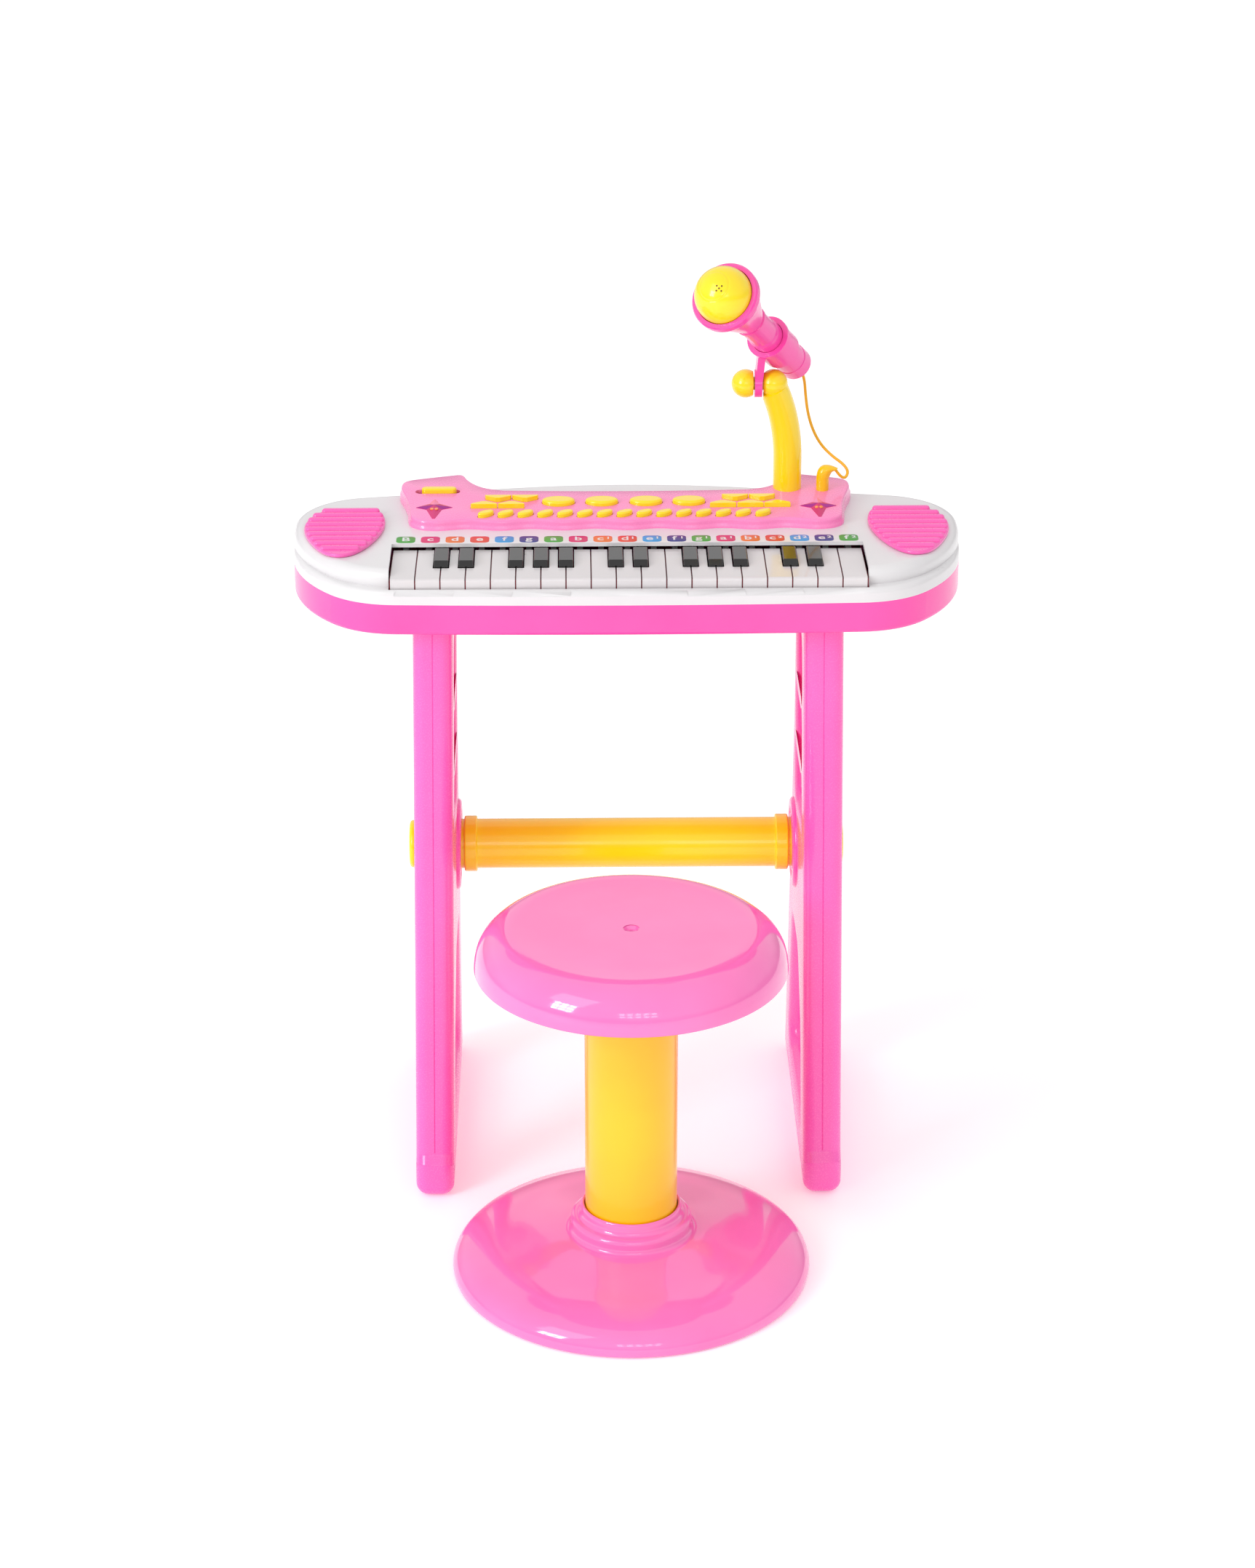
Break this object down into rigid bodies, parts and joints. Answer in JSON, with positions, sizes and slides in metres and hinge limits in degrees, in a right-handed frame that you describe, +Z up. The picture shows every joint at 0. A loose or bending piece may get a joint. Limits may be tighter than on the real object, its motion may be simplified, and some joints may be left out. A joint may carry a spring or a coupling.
{
  "type": "toy electronic keyboard",
  "caption": "Toy electronic keyboard on a two-leg stand with crossbar, curved stand with clip-on microphone and short lead, button panel, speaker grilles, and a round stool.",
  "frame": {"origin": "on the floor, at the middle of the footprint of stand and stool, without the microphone lead and its plug", "axes": "+X to the player's right, +Y away from the player, +Z up"},
  "size_m": [0.454, 0.454, 0.6562],
  "materials": {
    "white_plastic": "glossy injection-moulded white",
    "pink_plastic": "glossy hot pink",
    "light_pink_plastic": "glossy light pink",
    "grille_pink_plastic": "glossy pink",
    "leg_pink_plastic": "glossy pink, blow-moulded",
    "stool_pink_plastic": "very glossy pink",
    "yellow_plastic": "glossy yellow",
    "amber_plastic": "glossy golden yellow",
    "key_white": "glossy white",
    "key_black": "glossy black",
    "magenta_lens": "clear faceted magenta",
    "cord_rubber": "soft amber cord",
    "circuit_board": "green board",
    "speaker_parts": "paper cone and metal frame",
    "battery": "plain cell jacket",
    "steel": "zinc-plated"
  },
  "bodies": {
    "root": {"upper_case": "white_plastic", "lower_case": "pink_plastic", "control_panel": "light_pink_plastic", "speaker_grilles": "grille_pink_plastic", "speakers": "speaker_parts", "circuit_boards": "circuit_board", "key_pivot_rod": "steel", "battery_cover": "pink_plastic", "batteries": "battery", "case_screws": "steel", "indicator_lenses": "magenta_lens", "left_leg": "leg_pink_plastic", "right_leg": "leg_pink_plastic", "crossbar": "amber_plastic", "crossbar_caps": "amber_plastic", "mic_stand_arm": "yellow_plastic", "mic_stand_cap": "yellow_plastic", "mic_cord": "cord_rubber", "mic_plug": "amber_plastic"},
    "microphone": {"mic_clip": "pink_plastic", "mic_body": "pink_plastic", "mic_head": "yellow_plastic"},
    "power_switch": {"power_switch_knob": "yellow_plastic"},
    "large_button_bank": {"large_buttons": "yellow_plastic"},
    "cluster_button_bank": {"cluster_buttons": "yellow_plastic"},
    "leaf_button_bank": {"leaf_buttons": "yellow_plastic"},
    "stool": {"stool_seat": "stool_pink_plastic", "stool_post": "amber_plastic", "stool_base": "stool_pink_plastic"},
    "white_key_01": {"white_key_01": "key_white"},
    "white_key_02": {"white_key_02": "key_white"},
    "white_key_03": {"white_key_03": "key_white"},
    "white_key_04": {"white_key_04": "key_white"},
    "white_key_05": {"white_key_05": "key_white"},
    "white_key_06": {"white_key_06": "key_white"},
    "white_key_07": {"white_key_07": "key_white"},
    "white_key_08": {"white_key_08": "key_white"},
    "white_key_09": {"white_key_09": "key_white"},
    "white_key_10": {"white_key_10": "key_white"},
    "white_key_11": {"white_key_11": "key_white"},
    "white_key_12": {"white_key_12": "key_white"},
    "white_key_13": {"white_key_13": "key_white"},
    "white_key_14": {"white_key_14": "key_white"},
    "white_key_15": {"white_key_15": "key_white"},
    "white_key_16": {"white_key_16": "key_white"},
    "white_key_17": {"white_key_17": "key_white"},
    "white_key_18": {"white_key_18": "key_white"},
    "white_key_19": {"white_key_19": "key_white"},
    "black_key_01": {"black_key_01": "key_black"},
    "black_key_02": {"black_key_02": "key_black"},
    "black_key_03": {"black_key_03": "key_black"},
    "black_key_04": {"black_key_04": "key_black"},
    "black_key_05": {"black_key_05": "key_black"},
    "black_key_06": {"black_key_06": "key_black"},
    "black_key_07": {"black_key_07": "key_black"},
    "black_key_08": {"black_key_08": "key_black"},
    "black_key_09": {"black_key_09": "key_black"},
    "black_key_10": {"black_key_10": "key_black"},
    "black_key_11": {"black_key_11": "key_black"},
    "black_key_12": {"black_key_12": "key_black"}
  },
  "joints": [
    {"name": "mic_tilt", "type": "hinge", "parent": "root", "child": "microphone", "pos_m": [0.0905, 0.125, 0.557], "axis": [1, 0, 0], "range_deg": [-12, 25], "deforming": ["mic_cord"]},
    {"name": "power_slide", "type": "slide", "parent": "root", "child": "power_switch", "axis": [1, 0, 0], "range_m": [-0.003, 0.001]},
    {"name": "large_press", "type": "slide", "parent": "root", "child": "large_button_bank", "axis": [0, 0, -1], "range_m": [0, 0.0012], "stiffness_N_per_m": 300, "springref_m": -0.0015},
    {"name": "cluster_press", "type": "slide", "parent": "root", "child": "cluster_button_bank", "axis": [0, 0, -1], "range_m": [0, 0.0012], "stiffness_N_per_m": 300, "springref_m": -0.0015},
    {"name": "leaf_press", "type": "slide", "parent": "root", "child": "leaf_button_bank", "axis": [0, 0, -1], "range_m": [0, 0.0012], "stiffness_N_per_m": 300, "springref_m": -0.0015},
    {"name": "stool_slide", "type": "slide", "parent": "root", "child": "stool", "axis": [0, 1, 0], "range_m": [-0.25, 0.04]},
    {"name": "white_key_01_press", "type": "hinge", "parent": "root", "child": "white_key_01", "pos_m": [0, 0.087, 0.461], "axis": [1, 0, 0], "range_deg": [0, 2.4], "stiffness_Nm_per_rad": 0.25, "springref_deg": -6.88},
    {"name": "white_key_02_press", "type": "hinge", "parent": "root", "child": "white_key_02", "pos_m": [0, 0.087, 0.461], "axis": [1, 0, 0], "range_deg": [0, 2.4], "stiffness_Nm_per_rad": 0.25, "springref_deg": -6.88},
    {"name": "white_key_03_press", "type": "hinge", "parent": "root", "child": "white_key_03", "pos_m": [0, 0.087, 0.461], "axis": [1, 0, 0], "range_deg": [0, 2.4], "stiffness_Nm_per_rad": 0.25, "springref_deg": -6.88},
    {"name": "white_key_04_press", "type": "hinge", "parent": "root", "child": "white_key_04", "pos_m": [0, 0.087, 0.461], "axis": [1, 0, 0], "range_deg": [0, 2.4], "stiffness_Nm_per_rad": 0.25, "springref_deg": -6.88},
    {"name": "white_key_05_press", "type": "hinge", "parent": "root", "child": "white_key_05", "pos_m": [0, 0.087, 0.461], "axis": [1, 0, 0], "range_deg": [0, 2.4], "stiffness_Nm_per_rad": 0.25, "springref_deg": -6.88},
    {"name": "white_key_06_press", "type": "hinge", "parent": "root", "child": "white_key_06", "pos_m": [0, 0.087, 0.461], "axis": [1, 0, 0], "range_deg": [0, 2.4], "stiffness_Nm_per_rad": 0.25, "springref_deg": -6.88},
    {"name": "white_key_07_press", "type": "hinge", "parent": "root", "child": "white_key_07", "pos_m": [0, 0.087, 0.461], "axis": [1, 0, 0], "range_deg": [0, 2.4], "stiffness_Nm_per_rad": 0.25, "springref_deg": -6.88},
    {"name": "white_key_08_press", "type": "hinge", "parent": "root", "child": "white_key_08", "pos_m": [0, 0.087, 0.461], "axis": [1, 0, 0], "range_deg": [0, 2.4], "stiffness_Nm_per_rad": 0.25, "springref_deg": -6.88},
    {"name": "white_key_09_press", "type": "hinge", "parent": "root", "child": "white_key_09", "pos_m": [0, 0.087, 0.461], "axis": [1, 0, 0], "range_deg": [0, 2.4], "stiffness_Nm_per_rad": 0.25, "springref_deg": -6.88},
    {"name": "white_key_10_press", "type": "hinge", "parent": "root", "child": "white_key_10", "pos_m": [0, 0.087, 0.461], "axis": [1, 0, 0], "range_deg": [0, 2.4], "stiffness_Nm_per_rad": 0.25, "springref_deg": -6.88},
    {"name": "white_key_11_press", "type": "hinge", "parent": "root", "child": "white_key_11", "pos_m": [0, 0.087, 0.461], "axis": [1, 0, 0], "range_deg": [0, 2.4], "stiffness_Nm_per_rad": 0.25, "springref_deg": -6.88},
    {"name": "white_key_12_press", "type": "hinge", "parent": "root", "child": "white_key_12", "pos_m": [0, 0.087, 0.461], "axis": [1, 0, 0], "range_deg": [0, 2.4], "stiffness_Nm_per_rad": 0.25, "springref_deg": -6.88},
    {"name": "white_key_13_press", "type": "hinge", "parent": "root", "child": "white_key_13", "pos_m": [0, 0.087, 0.461], "axis": [1, 0, 0], "range_deg": [0, 2.4], "stiffness_Nm_per_rad": 0.25, "springref_deg": -6.88},
    {"name": "white_key_14_press", "type": "hinge", "parent": "root", "child": "white_key_14", "pos_m": [0, 0.087, 0.461], "axis": [1, 0, 0], "range_deg": [0, 2.4], "stiffness_Nm_per_rad": 0.25, "springref_deg": -6.88},
    {"name": "white_key_15_press", "type": "hinge", "parent": "root", "child": "white_key_15", "pos_m": [0, 0.087, 0.461], "axis": [1, 0, 0], "range_deg": [0, 2.4], "stiffness_Nm_per_rad": 0.25, "springref_deg": -6.88},
    {"name": "white_key_16_press", "type": "hinge", "parent": "root", "child": "white_key_16", "pos_m": [0, 0.087, 0.461], "axis": [1, 0, 0], "range_deg": [0, 2.4], "stiffness_Nm_per_rad": 0.25, "springref_deg": -6.88},
    {"name": "white_key_17_press", "type": "hinge", "parent": "root", "child": "white_key_17", "pos_m": [0, 0.087, 0.461], "axis": [1, 0, 0], "range_deg": [0, 2.4], "stiffness_Nm_per_rad": 0.25, "springref_deg": -6.88},
    {"name": "white_key_18_press", "type": "hinge", "parent": "root", "child": "white_key_18", "pos_m": [0, 0.087, 0.461], "axis": [1, 0, 0], "range_deg": [0, 2.4], "stiffness_Nm_per_rad": 0.25, "springref_deg": -6.88},
    {"name": "white_key_19_press", "type": "hinge", "parent": "root", "child": "white_key_19", "pos_m": [0, 0.087, 0.461], "axis": [1, 0, 0], "range_deg": [0, 2.4], "stiffness_Nm_per_rad": 0.25, "springref_deg": -6.88},
    {"name": "black_key_01_press", "type": "hinge", "parent": "root", "child": "black_key_01", "pos_m": [0, 0.087, 0.461], "axis": [1, 0, 0], "range_deg": [0, 2.4], "stiffness_Nm_per_rad": 0.25, "springref_deg": -6.88},
    {"name": "black_key_02_press", "type": "hinge", "parent": "root", "child": "black_key_02", "pos_m": [0, 0.087, 0.461], "axis": [1, 0, 0], "range_deg": [0, 2.4], "stiffness_Nm_per_rad": 0.25, "springref_deg": -6.88},
    {"name": "black_key_03_press", "type": "hinge", "parent": "root", "child": "black_key_03", "pos_m": [0, 0.087, 0.461], "axis": [1, 0, 0], "range_deg": [0, 2.4], "stiffness_Nm_per_rad": 0.25, "springref_deg": -6.88},
    {"name": "black_key_04_press", "type": "hinge", "parent": "root", "child": "black_key_04", "pos_m": [0, 0.087, 0.461], "axis": [1, 0, 0], "range_deg": [0, 2.4], "stiffness_Nm_per_rad": 0.25, "springref_deg": -6.88},
    {"name": "black_key_05_press", "type": "hinge", "parent": "root", "child": "black_key_05", "pos_m": [0, 0.087, 0.461], "axis": [1, 0, 0], "range_deg": [0, 2.4], "stiffness_Nm_per_rad": 0.25, "springref_deg": -6.88},
    {"name": "black_key_06_press", "type": "hinge", "parent": "root", "child": "black_key_06", "pos_m": [0, 0.087, 0.461], "axis": [1, 0, 0], "range_deg": [0, 2.4], "stiffness_Nm_per_rad": 0.25, "springref_deg": -6.88},
    {"name": "black_key_07_press", "type": "hinge", "parent": "root", "child": "black_key_07", "pos_m": [0, 0.087, 0.461], "axis": [1, 0, 0], "range_deg": [0, 2.4], "stiffness_Nm_per_rad": 0.25, "springref_deg": -6.88},
    {"name": "black_key_08_press", "type": "hinge", "parent": "root", "child": "black_key_08", "pos_m": [0, 0.087, 0.461], "axis": [1, 0, 0], "range_deg": [0, 2.4], "stiffness_Nm_per_rad": 0.25, "springref_deg": -6.88},
    {"name": "black_key_09_press", "type": "hinge", "parent": "root", "child": "black_key_09", "pos_m": [0, 0.087, 0.461], "axis": [1, 0, 0], "range_deg": [0, 2.4], "stiffness_Nm_per_rad": 0.25, "springref_deg": -6.88},
    {"name": "black_key_10_press", "type": "hinge", "parent": "root", "child": "black_key_10", "pos_m": [0, 0.087, 0.461], "axis": [1, 0, 0], "range_deg": [0, 2.4], "stiffness_Nm_per_rad": 0.25, "springref_deg": -6.88},
    {"name": "black_key_11_press", "type": "hinge", "parent": "root", "child": "black_key_11", "pos_m": [0, 0.087, 0.461], "axis": [1, 0, 0], "range_deg": [0, 2.4], "stiffness_Nm_per_rad": 0.25, "springref_deg": -6.88},
    {"name": "black_key_12_press", "type": "hinge", "parent": "root", "child": "black_key_12", "pos_m": [0, 0.087, 0.461], "axis": [1, 0, 0], "range_deg": [0, 2.4], "stiffness_Nm_per_rad": 0.25, "springref_deg": -6.88}
  ]
}
